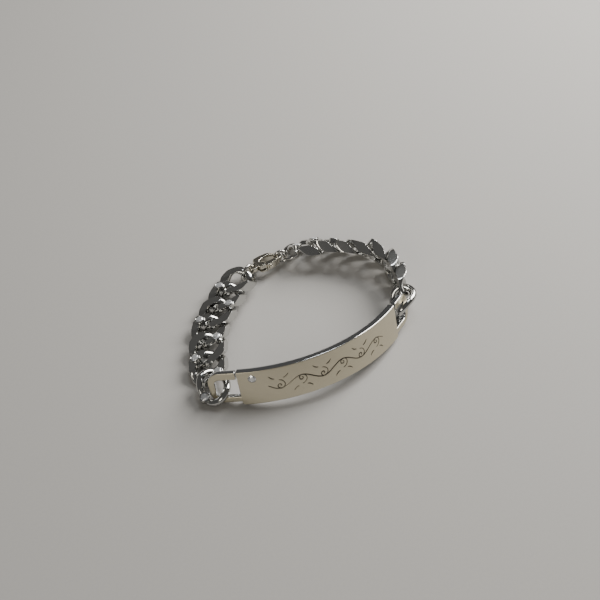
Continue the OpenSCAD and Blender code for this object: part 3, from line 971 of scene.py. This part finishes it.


# %% [markdown]
# ## Polished links
# The metal is white and mirror-like, and what it shows is mostly the dark room above it.
# Grinding leaves faint parallel lines on the flat faces, wear has dulled them in soft
# patches, and the hollows of the wire are painted darker, as painted shade.

# %% The links' metal
def polished(name, tone, dull):
    """Lines that run along the link, patches of wear, and painted shade that darkens the hollows.
    """
    metal = Finish(name)
    place, flat = metal.attribute("place", "Vector"), metal.attribute("ground")
    stretched = metal.node("ShaderNodeMapping", {}, {"Vector": place, "Scale": (0.4, 14, 14)})
    lines, patches = metal.noise(stretched, 1, 3), metal.noise(place, 0.55, 3)
    # painted shade: the wire away from the ground faces gets a darker copy of the tone
    painted_hollow_shade = [0.55 * v for v in tone]
    metal.set(Base_Color=metal.tint(1 - 0.38 * (1 - flat), painted_hollow_shade, tone), Metallic=1.0,
              Roughness=dull + 0.05 * patches + flat * (0.03 + 0.05 * lines),
              Normal=metal.relief(0.05, 0.02, lines * flat + 0.6 * patches))
    return metal.material


dress(links, "link", polished("polished_chain", (0.60, 0.60, 0.585), 0.06))

# %% [markdown]
# ## Rings and clasp
# Cast and drawn pieces have no ground faces. Their polish is the same all over, with small
# dents and a veil of fine scratches in every direction.

# %% The rings' and clasp's metal
def tumbled(name, tone, dull):
    """Soft dents that darken the tone a little, under a veil of fine scratches."""
    metal = Finish(name)
    veil, dents = metal.noise(metal.where(), 2600, 6, 0.7), metal.noise(metal.where(), 500, 2)
    metal.set(Base_Color=metal.tint(dents, [0.85 * v for v in tone], tone), Metallic=1.0,
              Roughness=dull + 0.08 * veil, Normal=metal.relief(0.12, 0.03, dents + 0.15 * veil))
    return metal.material


dress(rings, "ring", tumbled("tumbled_rings", (0.66, 0.65, 0.62), 0.06))
# painted reflection: the clasp's tone is warmer than the rings' to stand in for the warm table it
# mirrors
dress([clasp_shell, clasp_trigger], "clasp", tumbled("tumbled_clasp", (0.62, 0.59, 0.51), 0.1))

# %% [markdown]
# ## Brushed plate
# Abrasive drawn along the plate leaves long fine lines. To follow them the material works
# back from a point's place to its angle on the plate's arc and its height, and stretches a
# noise along the arc. Only the face is brushed, and its warm tint, warmer than the polished
# edges, is painted reflection of the warm table.

# %% The plate's metal
def brushed(name):
    """Works back to the angle u = R atan2(x, -y) along the plate's arc and the height z, and
    stretches the noise along u. Black fills the engraved cuts."""
    metal = Finish(name)
    back = Matrix.Rotation(PLATE_LEAN, 3, "X")
    shift = -(back @ Vector(lean_place[:3, 3].tolist())) - Vector((0, PLATE_R, 0))
    upright = metal.node("ShaderNodeMapping", {}, {
        "Vector": metal.where(), "Location": shift, "Rotation": (PLATE_LEAN, 0, 0),
        "Scale": (1 / MM, 1 / MM, 1 / MM)})
    split = metal.node("ShaderNodeSeparateXYZ", {}, {"Vector": upright}).socket.node
    x, y, z = (Signal(metal, output) for output in split.outputs)
    along = PLATE_R * x.math("ARCTAN2", x, -1 * y)
    fine = metal.node("ShaderNodeCombineXYZ", {}, {0: 0.5 * along, 1: 26 * z, 2: y})
    broad = metal.node("ShaderNodeCombineXYZ", {}, {0: 0.12 * along, 1: 3 * z, 2: y})
    lines, streaks = metal.noise(fine, 1, 5, 0.65), metal.noise(broad, 1, 3)
    worn = metal.noise(metal.where(), 160, 4)
    face, cut = metal.attribute("brushed"), metal.attribute("engraved")
    # painted reflection: the face's warm tint stands in for the warm table it mirrors; the brush
    # lines vary it
    warm_face_painted_reflection = metal.tint(lines, (0.56, 0.51, 0.39), (0.74, 0.685, 0.535))
    steel = metal.tint(face, (0.56, 0.57, 0.58), warm_face_painted_reflection)
    metal.set(Base_Color=metal.tint(cut.math("MINIMUM", 1.6 * cut, 0.93), steel,
                                    (0.05, 0.045, 0.04)),
              Metallic=1.0, Normal=metal.relief(0.35, 0.03, face * (lines + 0.4 * streaks)),
              Roughness=0.08 + face * (0.14 + 0.12 * streaks + 0.06 * worn) + 0.3 * cut)
    return metal.material


dress([plate], "plate", brushed("brushed_plate"))

# %% [markdown]
# ## Stones
# A rhinestone is cut glass with a mirror of foil behind it: its facets flash white or
# go dark as they turn, and the light that wanders about inside makes it look white from
# afar. So a stone has two materials: glass that mirrors a little and glows with scattered
# light on its crown, and pale foil on the facets below the girdle.

# %% The stones' glass and foil
def cut_glass(name):
    """Clear glass, part mirror, with a faint cloudiness."""
    glass = Finish(name)
    cloud = glass.noise(glass.where(), 900, 2)
    glass.set(Base_Color=glass.tint(cloud, (0.93, 0.96, 1), (1, 1, 1)),
              Metallic=0.42, Roughness=0.03, IOR=1.6, Transmission_Weight=0.5)
    return glass.material


def foil(name):
    """Pale foil whose gloss changes with its wrinkles."""
    mirror = Finish(name)
    wrinkle = mirror.noise(mirror.where(), 1500, 2)
    mirror.set(Base_Color=mirror.tint(wrinkle, (0.88, 0.9, 0.94), (1, 1, 1)), Metallic=0.35,
               Roughness=0.1 + 0.2 * wrinkle)
    return mirror.material


dress(stones, "stone", cut_glass("cut_glass"), foil("stone_foil"))

# %% [markdown]
# ## Table, light and camera
# The bracelet lies on a plain pale table. Its light comes from a window on the right, low
# and broad, with a darker room above, which is what the polished faces mirror. A large
# soft lamp stands in for the window and two weaker ones for the room.

# %% The table
TABLE_HALF = 1600


def table_top():
    """A flat square just under the bracelet: z = 0 everywhere."""
    x, y = np.meshgrid([-TABLE_HALF, TABLE_HALF], [-TABLE_HALF, TABLE_HALF], indexing="ij")
    points = np.stack([x, y, 0 * x], axis=-1).reshape(-1, 3)
    mesh = bpy.data.meshes.new("table_top")
    mesh.from_pydata((points * MM).tolist(), [], [[0, 2, 3, 1]])
    return mesh


table = show("table_top", table_top())
table_paint = Finish("pale_table")
grain = table_paint.noise(table_paint.where(), 1400, 3)
table_paint.set(Base_Color=table_paint.tint(grain, (0.435, 0.425, 0.41), (0.465, 0.455, 0.44)),
                Roughness=0.85, Specular_IOR_Level=0.2)
table.data.materials.append(table_paint.material)
table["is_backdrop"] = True
print("table:", 2 * TABLE_HALF, "mm square")

# %% Lamps and room
TARGET = Vector((4.02, 6.66, 0)) * MM


def lamp(name, azimuth, elevation, distance, size, power, tone):
    """A square soft lamp at a compass angle and height about the bracelet, facing it."""
    light = bpy.data.lights.new(name, "AREA")
    light.shape, light.size, light.energy, light.color = "SQUARE", size, power, tone
    a, e = radians(azimuth), radians(elevation)
    way = Vector((cos(e) * cos(a), cos(e) * sin(a), sin(e)))
    stand = bpy.data.objects.new(name, light)
    stand.location = way * distance
    stand.rotation_euler = way.to_track_quat("Z", "Y").to_euler()
    bpy.context.collection.objects.link(stand)
    print(name, "lamp at", [round(v / MM) for v in stand.location], "mm")


lamp("window", 14, 38, 0.5, 0.3, 4.3, (1, 0.975, 0.93))
lamp("ceiling", 52, 66, 0.8, 0.2, 1.1, (0.95, 0.98, 1))
lamp("far_wall", 215, 32, 1.0, 0.3, 1.8, (1, 0.94, 0.82))
world = bpy.data.worlds.new("room")
bpy.context.scene.world = world
world.use_nodes = True
world.node_tree.nodes["Background"].inputs["Color"].default_value = (0.11, 0.108, 0.105, 1)

# %% [markdown]
# The camera looks down at 50 degrees, turned a little to the right of the plate's front,
# through a lens a bit longer than normal.

# %% Camera
VIEW_TURN, VIEW_DOWN, VIEW_FAR = radians(28.23), radians(50), 256.1 * MM
forward = Vector((sin(VIEW_TURN) * cos(VIEW_DOWN), cos(VIEW_TURN) * cos(VIEW_DOWN),
                  -sin(VIEW_DOWN)))
camera = bpy.data.objects.new("camera", bpy.data.cameras.new("camera"))
camera.data.lens, camera.data.sensor_width, camera.data.clip_start = 54, 36, 0.01
camera.location = TARGET - VIEW_FAR * forward
camera.rotation_euler = forward.to_track_quat("-Z", "Y").to_euler()
bpy.context.collection.objects.link(camera)
bpy.context.scene.camera = camera
print("camera at", [round(v / MM, 1) for v in camera.location], "mm")

# %% [markdown]
# The dressed bracelet stays inside the solids' box. The last cell measures the dressed
# bracelet's box and prints it in mm.

# %% Measure and finish
bpy.context.view_layer.update()
low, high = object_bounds()
print("visual box in mm:", [round(1000 * v, 2) for v in (*low, *high)])
